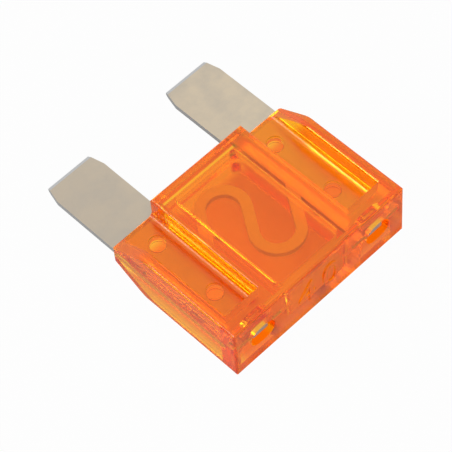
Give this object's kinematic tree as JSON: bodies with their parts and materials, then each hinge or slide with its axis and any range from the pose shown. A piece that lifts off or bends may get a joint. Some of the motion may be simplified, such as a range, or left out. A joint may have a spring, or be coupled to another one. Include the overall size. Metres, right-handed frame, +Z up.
{
  "type": "automotive blade fuse",
  "caption": "Large plug-in blade fuse: clear amber housing with a window block, recessed wings and test slots around a flat stamped strip with wide blades and an S-shaped link.",
  "frame": {"origin": "under the middle of the whole fuse, on the face that it lies on", "axes": "+X across the two blades, +Y along the blades towards their tips, +Z up through the thickness"},
  "size_m": [0.0292, 0.0342, 0.0089],
  "materials": {
    "housing_plastic": "clear amber moulding, polished",
    "strip_metal": "bare zinc alloy, dull satin"
  },
  "bodies": {
    "root": {"housing": "housing_plastic", "fuse_element": "strip_metal"}
  },
  "joints": []
}
